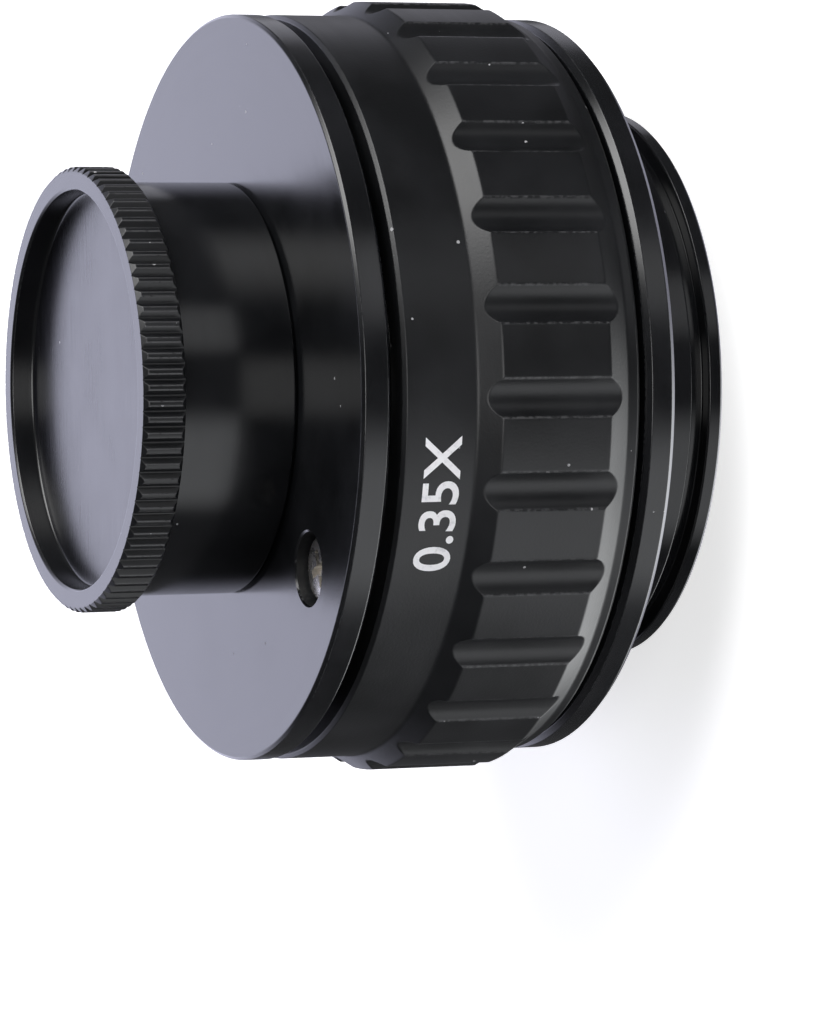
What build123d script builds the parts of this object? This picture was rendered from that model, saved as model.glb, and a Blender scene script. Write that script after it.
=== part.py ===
from build123d import *
from math import copysign, sqrt
import os

# Microscope camera adapter lens, in millimetres. The optical axis is Z. The adapter stands on
# the rear end of its tail at z = 0, with the camera side and its dust cap up. Angles are taken
# round Z from +X, and the printed side of the focus ring faces -Y.

# Tail that drops into the microscope's photo port
tail_diameter = 38.0
tail_length = 6.35
tail_wall = 2.5
tail_groove_start = 1.05
tail_groove_width = 1.2
tail_groove_depth = 1.1
tail_edge_chamfer = 0.2
groove_edge_chamfer = 0.1

# Collar that rests on the port, just inside the outline of the focus ring's edges
collar_step = 0.1
collar_thickness = 2.15
collar_chamfer = 0.38

# Bearing and threaded tube that the focus ring turns on
bearing_step = 1.6
bearing_length = 3.5
tube_counterbore_depth = 3.2

# Focus ring, read from its rear edge to its front edge, with its wall and grip outside the thread
ring_gap = 0.5
rear_strip_length = 0.9
rear_cone_length = 1.65
grip_length = 7.6
front_cone_length = 1.45
band_length = 5.15
ring_wall = 2.4
grip_rise = 1.0
ring_edge_chamfer = 0.25
flute_count = 27
flute_width = 2.6
flute_depth = 0.6
flute_start_angle = -92.2

# Lip inside the focus ring, and what traps it on the tube
lip_thickness = 1.0
washer_thickness = 0.3
retainer_width = 1.4
retainer_thickness = 1.7
tube_stand_out = 0.1
set_screw_diameter = 1.6
set_screw_length = 1.4
set_screw_angle = 140.0

# Front barrel: sleeve inside the ring, flange, and the camera's thread
flange_gap = 0.85
flange_thickness = 2.0
flange_chamfer = 0.22
barrel_roof = 2.2
nose_diameter = 25.4
nose_length = 4.0
nose_wall = 1.5
nose_relief_width = 0.6
nose_relief_depth = 0.5
nose_chamfer = 0.35
nose_bore_chamfer = 0.2
sleeve_foot_chamfer = 0.3
travel_up = 4.0
travel_down = 0.6
travel_end_gap = 0.3

# Guide screw, parallel to the optical axis, fast in the rear body, with the walls left beside it
guide_angle = -128.4
guide_head_diameter = 4.4
guide_head_height = 1.8
guide_head_depth = 0.75
guide_head_chamfer = 0.2
guide_head_clearance = 0.25
guide_shank_diameter = 3.0
guide_thread_diameter = 2.5
guide_thread_length = 4.6
guide_inner_wall = 1.4
guide_outer_wall = 1.2
guide_tube_wall = 0.3
cross_span = 2.6
cross_width = 0.6
cross_depth = 0.9

# Lens cell and its lock ring
cell_gap = 1.0
cell_wall = 1.5
cell_front_wall = 3.95
cell_recess = 3.2
cell_roof_gap = 0.2
cell_edge_chamfer = 0.2
lock_ring_width = 1.25
lock_ring_thickness = 1.5
lock_ring_gap = 0.4

# Cemented pair on the microscope side, from the tail up, with the depth of each curve at the rim
rear_first_depth = 2.2
rear_cement_depth = 2.9
rear_last_depth = 0.8
rear_crown_edge = 1.3
rear_flint_thickness = 1.8
rear_ring_width = 1.35
rear_ring_bevel = 0.8
rear_ring_thickness = 1.6
rear_ring_recess = 0.4

# Cemented pair on the camera side, likewise
front_first_depth = 1.7
front_cement_depth = 2.7
front_last_depth = 0.74
front_crown_edge = 1.0
front_flint_thickness = 1.5
front_ring_width = 1.3
front_ring_thickness = 1.5

# Web of the cell and the spacer that stands on it
web_lip = 1.1
web_thickness = 1.4
spacer_length = 4.4

# Slots for a spanner in the slotted rings
spanner_slot_width = 1.4
spanner_slot_depth = 0.7

# Dust cap
cap_wall = 1.3
cap_skirt_length = 8.15
cap_rim_step = 1.05
cap_rim_width = 2.95
cap_rim_chamfer = 0.3
cap_mouth_chamfer = 0.25
cap_recess_chamfer = 0.15
cap_face_ring = 1.6
cap_recess_depth = 1.7
cap_web = 1.2
knurl_count = 90
knurl_depth = 0.38

# Fits
running_clearance = 0.05
axial_play = 0.05
thread_clearance = 0.05
lens_clearance = 0.05
seat_clearance = 0.02
screw_clearance = 0.05
screw_tip_gap = 0.4

# Heights along the axis, each from the ones below it
collar_top = tail_length + collar_thickness
bearing_top = collar_top + bearing_length
lip_bottom = bearing_top + axial_play
lip_top = lip_bottom + lip_thickness
washer_top = lip_top + washer_thickness
retainer_bottom = washer_top + axial_play
retainer_top = retainer_bottom + retainer_thickness
tube_top = retainer_top + tube_stand_out
ring_bottom = collar_top + ring_gap
rear_cone_bottom = ring_bottom + rear_strip_length
grip_bottom = rear_cone_bottom + rear_cone_length
grip_top = grip_bottom + grip_length
band_bottom = grip_top + front_cone_length
ring_top = band_bottom + band_length
flange_bottom = ring_top + flange_gap
flange_top = flange_bottom + flange_thickness
nose_top = flange_top + nose_length
roof_bottom = flange_top - barrel_roof
sleeve_bottom = tube_top + travel_down + travel_end_gap
guide_head_top = flange_top - guide_head_depth
guide_head_bottom = guide_head_top - guide_head_height
guide_hole_bottom = guide_head_bottom - travel_up - axial_play
guide_tip = tube_top - guide_thread_length
cap_bottom = flange_top + axial_play
cap_rim_bottom = cap_bottom + cap_skirt_length
cap_top = cap_rim_bottom + cap_rim_width
cap_floor = cap_top - cap_recess_depth
cap_ceiling = cap_floor - cap_web

# Radii from the tail's bore inwards to the lenses
tail_radius = tail_diameter / 2
tail_bore_radius = tail_radius - tail_wall
cell_radius = tail_bore_radius - cell_gap
rear_bore_radius = cell_radius - cell_wall
front_bore_radius = cell_radius - cell_front_wall
rear_lens_radius = rear_bore_radius - lens_clearance
front_lens_radius = front_bore_radius - lens_clearance
rear_ring_bore_radius = rear_lens_radius - rear_ring_width
front_ring_bore_radius = front_lens_radius - front_ring_width
web_bore_radius = front_lens_radius - web_lip

# Radii from the cell outwards, past the guide screw, to the focus ring and the flange
cell_thread_radius = cell_radius + thread_clearance
lock_ring_radius = cell_thread_radius + lock_ring_width
counterbore_radius = lock_ring_radius + lock_ring_gap
guide_head_radius = guide_head_diameter / 2
guide_shank_radius = guide_shank_diameter / 2
guide_thread_radius = guide_thread_diameter / 2
guide_hole_radius = guide_head_radius + guide_head_clearance
guide_radius = cell_thread_radius + guide_inner_wall + guide_hole_radius
tube_radius = guide_radius + guide_thread_radius + screw_clearance + guide_tube_wall
bearing_radius = tube_radius + bearing_step
lip_radius = tube_radius + running_clearance
retainer_radius = tube_radius + retainer_width
sleeve_radius = guide_radius + guide_hole_radius + guide_outer_wall
ring_thread_radius = sleeve_radius + running_clearance
ring_edge_radius = ring_thread_radius + ring_wall
grip_radius = ring_edge_radius + grip_rise
flange_radius = ring_edge_radius
collar_radius = ring_edge_radius - collar_step

# Radii of the camera thread and the cap that covers it
nose_radius = nose_diameter / 2
nose_bore_radius = nose_radius - nose_wall
relief_radius = nose_radius - nose_relief_depth
cap_bore_radius = nose_radius + thread_clearance
cap_skirt_radius = cap_bore_radius + cap_wall
cap_rim_radius = cap_skirt_radius + cap_rim_step
cap_recess_radius = cap_rim_radius - cap_face_ring


def outline(*points):
    """Closed outline of (radius, height) points, in the plane that holds the optical axis"""
    with BuildSketch(Plane.XZ) as face:
        with BuildLine():
            Polyline(*points, close=True)
        make_face()
    return face.sketch


def washer_outline(inner_radius, outer_radius, bottom, top):
    """Section of a plain ring between two heights"""
    return outline((inner_radius, bottom), (outer_radius, bottom), (outer_radius, top), (inner_radius, top))


def sag(depth, lens_radius, radius):
    """Depth at a radius of a round lens face that is this deep at the rim of the lens"""
    curve = (lens_radius * lens_radius + depth * depth) / (2 * depth)
    return curve - copysign(sqrt(curve * curve - radius * radius), curve)


def lens_outline(radius, bottom, bottom_depth, top, top_depth):
    """Half section of a lens from the heights of its two faces on the axis. A positive depth bulges out."""
    half = radius / 2
    bottom_edge = (radius, bottom + bottom_depth)
    top_edge = (radius, top - top_depth)
    with BuildSketch(Plane.XZ) as face:
        with BuildLine():
            Line((0, top), (0, bottom))
            ThreePointArc((0, bottom), (half, bottom + sag(bottom_depth, radius, half)), bottom_edge)
            Line(bottom_edge, top_edge)
            ThreePointArc(top_edge, (half, top - sag(top_depth, radius, half)), (0, top))
        make_face()
    return face.sketch


def rim(part, radius, height):
    """Round edges of a turned part that lie at a radius and a height"""
    circles = part.edges().filter_by(GeomType.CIRCLE)
    level = circles.filter_by(lambda edge: abs(edge.arc_center.Z - height) < 0.001)
    return level.filter_by(lambda edge: abs(edge.radius - radius) < 0.001)


def spanner_slots(height, radius, amount):
    """Pair of slots right across the flat of a ring, cut from a height by a signed amount"""
    with BuildSketch(Plane.XY.offset(height)) as slot:
        Rectangle(2 * radius + spanner_slot_width, spanner_slot_width)
    return extrude(slot.sketch, amount=amount, mode=Mode.PRIVATE)


# Rear body: grooved tail, collar, bearing and threaded tube, turned from one bar
groove_radius = tail_radius - tail_groove_depth
groove_top = tail_groove_start + tail_groove_width
counterbore_bottom = tube_top - tube_counterbore_depth
with BuildPart() as rear_body:
    revolve(
        outline(
            (tail_bore_radius, 0),
            (tail_radius, 0),
            (tail_radius, tail_groove_start),
            (groove_radius, tail_groove_start),
            (groove_radius, groove_top),
            (tail_radius, groove_top),
            (tail_radius, tail_length),
            (collar_radius, tail_length),
            (collar_radius, collar_top),
            (bearing_radius, collar_top),
            (bearing_radius, bearing_top),
            (tube_radius, bearing_top),
            (tube_radius, tube_top),
            (counterbore_radius, tube_top),
            (counterbore_radius, counterbore_bottom),
            (tail_bore_radius, counterbore_bottom),
        ),
        axis=Axis.Z,
    )
    chamfer(rim(rear_body, tail_radius, 0), tail_edge_chamfer)
    chamfer(rim(rear_body, tail_bore_radius, 0), tail_edge_chamfer)
    chamfer(rim(rear_body, tail_radius, tail_groove_start), groove_edge_chamfer)
    chamfer(rim(rear_body, tail_radius, groove_top), groove_edge_chamfer)
    chamfer(rim(rear_body, collar_radius, tail_length), collar_chamfer)
    chamfer(rim(rear_body, collar_radius, collar_top), collar_chamfer)
    with BuildSketch(Plane.XY.offset(tube_top)):
        with PolarLocations(guide_radius, 1, guide_angle):
            Circle(guide_thread_radius + screw_clearance)
    extrude(amount=-guide_thread_length - screw_tip_gap, mode=Mode.SUBTRACT)
    with BuildSketch(Plane.XY.offset(tube_top)):
        with PolarLocations(tube_radius, 1, set_screw_angle):
            Circle(set_screw_diameter / 2 + screw_clearance)
    extrude(amount=-tube_stand_out - set_screw_length - screw_clearance, mode=Mode.SUBTRACT)

# Focus ring: smooth printed band, two cones, fluted grip and an inner lip, in one piece
flute_radius = (flute_width * flute_width / 4 + flute_depth * flute_depth) / (2 * flute_depth)
flute_axis_radius = grip_radius - flute_depth + flute_radius
bearing_bore_radius = bearing_radius + running_clearance
with BuildPart() as focus_ring:
    revolve(
        outline(
            (bearing_bore_radius, ring_bottom),
            (ring_edge_radius, ring_bottom),
            (ring_edge_radius, rear_cone_bottom),
            (grip_radius, grip_bottom),
            (grip_radius, grip_top),
            (ring_edge_radius, band_bottom),
            (ring_edge_radius, ring_top),
            (ring_thread_radius, ring_top),
            (ring_thread_radius, lip_top),
            (lip_radius, lip_top),
            (lip_radius, lip_bottom),
            (bearing_bore_radius, lip_bottom),
        ),
        axis=Axis.Z,
    )
    chamfer(rim(focus_ring, ring_edge_radius, ring_top), ring_edge_chamfer)
    chamfer(rim(focus_ring, ring_edge_radius, ring_bottom), ring_edge_chamfer)
    chamfer(rim(focus_ring, ring_thread_radius, ring_top), ring_edge_chamfer)
    with BuildSketch(Plane.XY.offset(ring_bottom)):
        with PolarLocations(flute_axis_radius, flute_count, start_angle=flute_start_angle):
            Circle(flute_radius)
    extrude(amount=ring_top - ring_bottom, mode=Mode.SUBTRACT)

# Thin washer that gives the ring its drag
with BuildPart() as friction_washer:
    revolve(washer_outline(lip_radius, retainer_radius, lip_top, washer_top), axis=Axis.Z)

# Threaded ring that holds the focus ring's lip down
with BuildPart() as ring_retainer:
    revolve(
        washer_outline(tube_radius + thread_clearance, retainer_radius, retainer_bottom, retainer_top),
        axis=Axis.Z,
    )
    add(spanner_slots(retainer_top, retainer_radius, -spanner_slot_depth), mode=Mode.SUBTRACT)
    with BuildSketch(Plane.XY.offset(retainer_top)):
        with PolarLocations(tube_radius, 1, set_screw_angle):
            Circle(set_screw_diameter / 2 + screw_clearance)
    extrude(amount=-set_screw_length - screw_clearance, mode=Mode.SUBTRACT)

# Grub screw half in the retainer and half in the tube
with BuildPart() as retainer_set_screw:
    with BuildSketch(Plane.XY.offset(retainer_top)):
        with PolarLocations(tube_radius, 1, set_screw_angle):
            Circle(set_screw_diameter / 2)
    extrude(amount=-set_screw_length)

# Guide screw: the barrel slides on its shank, and its head ends the travel
with BuildPart() as guide_screw:
    with BuildSketch(Plane.XY.offset(guide_tip)):
        with PolarLocations(guide_radius, 1, guide_angle):
            Circle(guide_thread_radius)
    extrude(amount=guide_thread_length)
    with BuildSketch(Plane.XY.offset(tube_top)):
        with PolarLocations(guide_radius, 1, guide_angle):
            Circle(guide_shank_radius)
    extrude(amount=guide_head_bottom - tube_top)
    with BuildSketch(Plane.XY.offset(guide_head_bottom)):
        with PolarLocations(guide_radius, 1, guide_angle):
            Circle(guide_head_radius)
    extrude(amount=guide_head_height)
    chamfer(rim(guide_screw, guide_head_radius, guide_head_top), guide_head_chamfer)
    chamfer(rim(guide_screw, guide_thread_radius, guide_tip), guide_head_chamfer)
    with BuildSketch(Plane.XY.offset(guide_head_top)):
        with PolarLocations(guide_radius, 1, guide_angle):
            Rectangle(cross_span, cross_width)
            Rectangle(cross_width, cross_span)
    extrude(amount=-cross_depth, mode=Mode.SUBTRACT)

# Front barrel: sleeve that rides in the ring's thread, flange, and camera thread
relief_top = flange_top + nose_relief_width
with BuildPart() as front_barrel:
    revolve(
        outline(
            (cell_thread_radius, sleeve_bottom),
            (sleeve_radius, sleeve_bottom),
            (sleeve_radius, flange_bottom),
            (flange_radius, flange_bottom),
            (flange_radius, flange_top),
            (relief_radius, flange_top),
            (relief_radius, relief_top),
            (nose_radius, relief_top),
            (nose_radius, nose_top),
            (nose_bore_radius, nose_top),
            (nose_bore_radius, roof_bottom),
            (cell_thread_radius, roof_bottom),
        ),
        axis=Axis.Z,
    )
    chamfer(rim(front_barrel, flange_radius, flange_top), flange_chamfer)
    chamfer(rim(front_barrel, flange_radius, flange_bottom), flange_chamfer)
    chamfer(rim(front_barrel, nose_radius, nose_top), nose_chamfer)
    chamfer(rim(front_barrel, nose_bore_radius, nose_top), nose_bore_chamfer)
    chamfer(rim(front_barrel, sleeve_radius, sleeve_bottom), sleeve_foot_chamfer)
    with BuildSketch(Plane.XY.offset(flange_top)):
        with PolarLocations(guide_radius, 1, guide_angle):
            Circle(guide_hole_radius)
    extrude(amount=guide_hole_bottom - flange_top, mode=Mode.SUBTRACT)
    with BuildSketch(Plane.XY.offset(guide_hole_bottom)):
        with PolarLocations(guide_radius, 1, guide_angle):
            Circle(guide_shank_radius + running_clearance)
    extrude(amount=sleeve_bottom - guide_hole_bottom, mode=Mode.SUBTRACT)

# Heights inside the lens cell, from the tail up
cell_bottom = cell_recess
cell_top = roof_bottom - cell_roof_gap
rear_ring_bottom = cell_bottom + rear_ring_recess
rear_ring_top = rear_ring_bottom + rear_ring_thickness
rear_seat = rear_ring_top + seat_clearance
rear_first_face = rear_seat - sag(rear_first_depth, rear_lens_radius, rear_ring_bore_radius)
rear_cement_face = rear_first_face + rear_first_depth + rear_crown_edge + rear_cement_depth
rear_flint_bottom = rear_cement_face + seat_clearance
rear_last_face = rear_flint_bottom + rear_flint_thickness
web_seat = rear_last_face - sag(rear_last_depth, rear_lens_radius, web_bore_radius)
web_bottom = web_seat + seat_clearance
web_top = web_bottom + web_thickness
spacer_top = web_top + spacer_length
front_seat = spacer_top + seat_clearance
front_first_face = front_seat - sag(front_first_depth, front_lens_radius, web_bore_radius)
front_cement_face = front_first_face + front_first_depth + front_crown_edge + front_cement_depth
front_flint_bottom = front_cement_face + seat_clearance
front_last_face = front_flint_bottom + front_flint_thickness
front_ring_seat = front_last_face - sag(front_last_depth, front_lens_radius, front_ring_bore_radius)
front_ring_bottom = front_ring_seat + seat_clearance
front_ring_top = front_ring_bottom + front_ring_thickness

# Lens cell: stepped tube with a web between the two pairs of lenses
with BuildPart() as lens_cell:
    revolve(
        outline(
            (rear_bore_radius, cell_bottom),
            (cell_radius, cell_bottom),
            (cell_radius, cell_top),
            (front_bore_radius, cell_top),
            (front_bore_radius, web_top),
            (web_bore_radius, web_top),
            (web_bore_radius, web_bottom),
            (rear_bore_radius, web_bottom),
        ),
        axis=Axis.Z,
    )
    chamfer(rim(lens_cell, rear_bore_radius, cell_bottom), cell_edge_chamfer)
    chamfer(rim(lens_cell, cell_radius, cell_bottom), cell_edge_chamfer)
    chamfer(rim(lens_cell, cell_radius, cell_top), cell_edge_chamfer)
    chamfer(rim(lens_cell, front_bore_radius, cell_top), cell_edge_chamfer)

# Ring on the cell's thread, tight against the foot of the barrel
lock_ring_bottom = sleeve_bottom - lock_ring_thickness
with BuildPart() as cell_lock_ring:
    revolve(
        washer_outline(cell_thread_radius, lock_ring_radius, lock_ring_bottom, sleeve_bottom),
        axis=Axis.Z,
    )
    add(spanner_slots(lock_ring_bottom, lock_ring_radius, spanner_slot_depth), mode=Mode.SUBTRACT)

# Slotted ring that holds the rear pair, bevelled towards the lens
with BuildPart() as rear_retaining_ring:
    revolve(
        outline(
            (rear_ring_bore_radius + rear_ring_bevel, rear_ring_bottom),
            (rear_lens_radius, rear_ring_bottom),
            (rear_lens_radius, rear_ring_top),
            (rear_ring_bore_radius, rear_ring_top),
        ),
        axis=Axis.Z,
    )
    add(spanner_slots(rear_ring_bottom, rear_lens_radius, spanner_slot_depth), mode=Mode.SUBTRACT)

# Rear cemented pair
with BuildPart() as rear_crown_lens:
    revolve(
        lens_outline(
            rear_lens_radius, rear_first_face, rear_first_depth, rear_cement_face, rear_cement_depth
        ),
        axis=Axis.Z,
    )
with BuildPart() as rear_flint_lens:
    revolve(
        lens_outline(
            rear_lens_radius, rear_flint_bottom, -rear_cement_depth, rear_last_face, rear_last_depth
        ),
        axis=Axis.Z,
    )

# Tube that stands on the web and carries the front pair
with BuildPart() as lens_spacer:
    revolve(washer_outline(web_bore_radius, front_lens_radius, web_top, spacer_top), axis=Axis.Z)

# Front cemented pair
with BuildPart() as front_crown_lens:
    revolve(
        lens_outline(
            front_lens_radius, front_first_face, front_first_depth, front_cement_face, front_cement_depth
        ),
        axis=Axis.Z,
    )
with BuildPart() as front_flint_lens:
    revolve(
        lens_outline(
            front_lens_radius, front_flint_bottom, -front_cement_depth, front_last_face, front_last_depth
        ),
        axis=Axis.Z,
    )

# Slotted ring that holds the front pair
with BuildPart() as front_retaining_ring:
    revolve(
        washer_outline(front_ring_bore_radius, front_lens_radius, front_ring_bottom, front_ring_top),
        axis=Axis.Z,
    )
    add(spanner_slots(front_ring_top, front_lens_radius, -spanner_slot_depth), mode=Mode.SUBTRACT)

# Dust cap: recessed face, serrated rim, and a skirt bored to go over the camera thread
knurl_side = knurl_depth * sqrt(2)
with BuildPart() as dust_cap:
    revolve(
        outline(
            (cap_bore_radius, cap_bottom),
            (cap_skirt_radius, cap_bottom),
            (cap_skirt_radius, cap_rim_bottom),
            (cap_rim_radius, cap_rim_bottom),
            (cap_rim_radius, cap_top),
            (cap_recess_radius, cap_top),
            (cap_recess_radius, cap_floor),
            (0, cap_floor),
            (0, cap_ceiling),
            (cap_bore_radius, cap_ceiling),
        ),
        axis=Axis.Z,
    )
    chamfer(rim(dust_cap, cap_skirt_radius, cap_bottom), cap_mouth_chamfer)
    chamfer(rim(dust_cap, cap_rim_radius, cap_top), cap_rim_chamfer)
    chamfer(rim(dust_cap, cap_rim_radius, cap_rim_bottom), cap_rim_chamfer)
    chamfer(rim(dust_cap, cap_recess_radius, cap_top), cap_recess_chamfer)
    with BuildSketch(Plane.XY.offset(cap_rim_bottom)):
        with PolarLocations(cap_rim_radius, knurl_count):
            Rectangle(knurl_side, knurl_side, rotation=45)
    extrude(amount=cap_rim_width, mode=Mode.SUBTRACT)

# Every piece goes to its own file
rear_body.part.label = "rear_body"
focus_ring.part.label = "focus_ring"
friction_washer.part.label = "friction_washer"
ring_retainer.part.label = "ring_retainer"
retainer_set_screw.part.label = "retainer_set_screw"
guide_screw.part.label = "guide_screw"
front_barrel.part.label = "front_barrel"
lens_cell.part.label = "lens_cell"
cell_lock_ring.part.label = "cell_lock_ring"
rear_retaining_ring.part.label = "rear_retaining_ring"
rear_crown_lens.part.label = "rear_crown_lens"
rear_flint_lens.part.label = "rear_flint_lens"
lens_spacer.part.label = "lens_spacer"
front_crown_lens.part.label = "front_crown_lens"
front_flint_lens.part.label = "front_flint_lens"
front_retaining_ring.part.label = "front_retaining_ring"
dust_cap.part.label = "dust_cap"

os.makedirs("parts", exist_ok=True)
export_step(rear_body.part, "parts/rear_body.step")
export_step(focus_ring.part, "parts/focus_ring.step")
export_step(friction_washer.part, "parts/friction_washer.step")
export_step(ring_retainer.part, "parts/ring_retainer.step")
export_step(retainer_set_screw.part, "parts/retainer_set_screw.step")
export_step(guide_screw.part, "parts/guide_screw.step")
export_step(front_barrel.part, "parts/front_barrel.step")
export_step(lens_cell.part, "parts/lens_cell.step")
export_step(cell_lock_ring.part, "parts/cell_lock_ring.step")
export_step(rear_retaining_ring.part, "parts/rear_retaining_ring.step")
export_step(rear_crown_lens.part, "parts/rear_crown_lens.step")
export_step(rear_flint_lens.part, "parts/rear_flint_lens.step")
export_step(lens_spacer.part, "parts/lens_spacer.step")
export_step(front_crown_lens.part, "parts/front_crown_lens.step")
export_step(front_flint_lens.part, "parts/front_flint_lens.step")
export_step(front_retaining_ring.part, "parts/front_retaining_ring.step")
export_step(dust_cap.part, "parts/dust_cap.step")
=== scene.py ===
import math
import bpy
import bmesh
from mathutils import Matrix, Vector


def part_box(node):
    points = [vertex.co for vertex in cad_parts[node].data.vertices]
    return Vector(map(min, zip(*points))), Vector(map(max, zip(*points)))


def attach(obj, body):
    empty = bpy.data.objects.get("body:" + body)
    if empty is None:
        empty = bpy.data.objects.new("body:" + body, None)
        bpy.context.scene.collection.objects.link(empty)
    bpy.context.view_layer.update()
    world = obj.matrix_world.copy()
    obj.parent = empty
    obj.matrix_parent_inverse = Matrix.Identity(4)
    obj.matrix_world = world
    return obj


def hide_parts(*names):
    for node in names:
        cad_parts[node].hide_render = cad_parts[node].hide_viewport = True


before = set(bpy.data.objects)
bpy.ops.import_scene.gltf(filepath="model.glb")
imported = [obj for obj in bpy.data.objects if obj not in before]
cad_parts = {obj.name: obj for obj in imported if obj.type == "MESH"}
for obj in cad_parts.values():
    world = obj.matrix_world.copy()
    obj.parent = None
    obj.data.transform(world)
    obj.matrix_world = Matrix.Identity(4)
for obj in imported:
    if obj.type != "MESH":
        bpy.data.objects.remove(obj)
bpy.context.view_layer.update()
print("frame loaded:", len(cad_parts), "nodes")

mm = 0.001


# Where the solids are

def nodeSpan(node):
    # bottom, top and radius of a turned solid, in millimetres
    low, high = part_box(node)
    return low.z / mm, high.z / mm, max(high.x, -low.x, high.y, -low.y) / mm


noseHeight = 4.0  # of the camera thread above the flange
barrelFoot, noseTop, flangeRadius = nodeSpan("front_barrel")
ringBottom, ringTop = nodeSpan("focus_ring")[:2]
tailEnd, tubeTop, collarReach = nodeSpan("rear_body")
capFoot, capTop = nodeSpan("dust_cap")[:2]
flangeTop = noseTop - noseHeight


# Outlines and turned meshes

softening = {
    "steps": 3,  # straight pieces in the curve of a soft corner
    "largestShare": 0.3,  # of the flat beside it that a soft corner takes
    "guardReach": 1.6,  # guard points stand this many times the softness from the corner
}
meshLimits = {"merge": 1e-7, "collapse": 1e-8, "shortest": 1e-9}  # in metres
bends = {"least": 0.05, "span": 0.1}  # flat up to the least, and fully bent a span above it
sharpFrom = 40  # degrees between two faces from which their edge is drawn sharp


def softOutline(corners):
    # corners are (radius, height, softness); each soft corner becomes a short curve, with a
    # guard point on either side that keeps the flats beside it flat in the shading
    steps, largest, guardReach = softening["steps"], softening["largestShare"], softening["guardReach"]
    line = []
    count = len(corners)
    for i, (radius, height, soft) in enumerate(corners):
        here = Vector((radius, height))
        if soft == 0:
            line.append(here)
            continue
        before = Vector(corners[i - 1][:2]) - here
        after = Vector(corners[(i + 1) % count][:2]) - here
        near = min(soft, before.length * largest)
        far = min(soft, after.length * largest)
        start = here + before.normalized() * near
        end = here + after.normalized() * far
        line.append(here + before.normalized() * near * guardReach)
        for k in range(steps + 1):
            t = k / steps
            line.append(start * (1 - t) ** 2 + here * (2 * t * (1 - t)) + end * t ** 2)
        line.append(here + after.normalized() * far * guardReach)
    return line


def markBends(work):
    # how far each point stands out of its neighbours (edges) or lies between them (corners)
    layer = work.verts.layers.float.new("edgeBend")
    for vert in work.verts:
        normal = vert.normal
        total = 0.0
        for edge in vert.link_edges:
            along = edge.other_vert(vert).co - vert.co
            total -= along.dot(normal) / max(along.length, meshLimits["shortest"])
        bend = total / max(len(vert.link_edges), 1)
        share = min(1.0, max(0.0, abs(bend) - bends["least"]) / bends["span"])
        vert[layer] = math.copysign(share, bend)


def placed(name, data):
    made = bpy.data.objects.new(name, data)
    bpy.context.scene.collection.objects.link(made)
    return made


def meshFromColumns(name, columns, angles):
    # columns of (radius, height) round the axis, joined in a ring and each closed on itself
    rows = len(columns[0])
    verts = []
    for column, angle in zip(columns, angles):
        c, s = math.cos(angle), math.sin(angle)
        verts += [(r * c * mm, r * s * mm, z * mm) for r, z in column]
    faces = []
    total = len(columns)
    for i in range(total):
        a, b = i * rows, ((i + 1) % total) * rows
        for j in range(rows):
            k = (j + 1) % rows
            faces.append((a + j, b + j, b + k, a + k))
    mesh = bpy.data.meshes.new(name)
    mesh.from_pydata(verts, [], faces)
    work = bmesh.new()
    work.from_mesh(mesh)
    bmesh.ops.remove_doubles(work, verts=work.verts, dist=meshLimits["merge"])
    bmesh.ops.dissolve_degenerate(work, dist=meshLimits["collapse"], edges=work.edges)
    bmesh.ops.recalc_face_normals(work, faces=work.faces)
    work.normal_update()
    markBends(work)
    work.to_mesh(mesh)
    work.free()
    mesh.shade_smooth()
    return placed(name, mesh)


def evenAngles(count):
    return [2 * math.pi * i / count for i in range(count)]


def turned(name, corners, columns):
    line = [tuple(p) for p in softOutline(corners)]
    return meshFromColumns(name, [line] * columns, evenAngles(columns))


def evenShading(piece):
    # large faces rule the shading, so that the small curves at the edges don't bend it
    weighted = piece.modifiers.new("evenShading", "WEIGHTED_NORMAL")
    weighted.mode = "FACE_AREA"
    weighted.weight = 60
    weighted.keep_sharp = True


def finalMesh(piece):
    # the mesh as its modifiers or its letters leave it
    bpy.context.view_layer.update()
    return bpy.data.meshes.new_from_object(piece.evaluated_get(bpy.context.evaluated_depsgraph_get()))


def cutWith(piece, *cutters):
    for cutter in cutters:
        cut = piece.modifiers.new("cut", "BOOLEAN")
        cut.operation = "DIFFERENCE"
        cut.solver = "EXACT"
        cut.object = cutter
    mesh = finalMesh(piece)
    piece.modifiers.clear()
    piece.data = mesh
    for cutter in cutters:
        bpy.data.objects.remove(cutter)


def markSharp(piece, degrees):
    work = bmesh.new()
    work.from_mesh(piece.data)
    for edge in work.edges:
        if len(edge.link_faces) == 2 and edge.calc_face_angle(0) > math.radians(degrees):
            edge.smooth = False
    work.to_mesh(piece.data)
    work.free()


def moved(piece, x, y):
    piece.data.transform(Matrix.Translation((x * mm, y * mm, 0)))
    return piece


def blockAt(name, low, high):
    mesh = bpy.data.meshes.new(name)
    work = bmesh.new()
    bmesh.ops.create_cube(work, size=1)
    size = [(b - a) * mm for a, b in zip(low, high)]
    middle = [(a + b) / 2 * mm for a, b in zip(low, high)]
    stretch = Matrix.Translation(middle) @ Matrix.Diagonal((*size, 1))
    bmesh.ops.transform(work, matrix=stretch, verts=work.verts)
    work.to_mesh(mesh)
    work.free()
    return placed(name, mesh)


ridgeForm = {"top": 1.18, "slope": 2.6}  # a ridge's flat top and its flanks, in pitches


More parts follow.
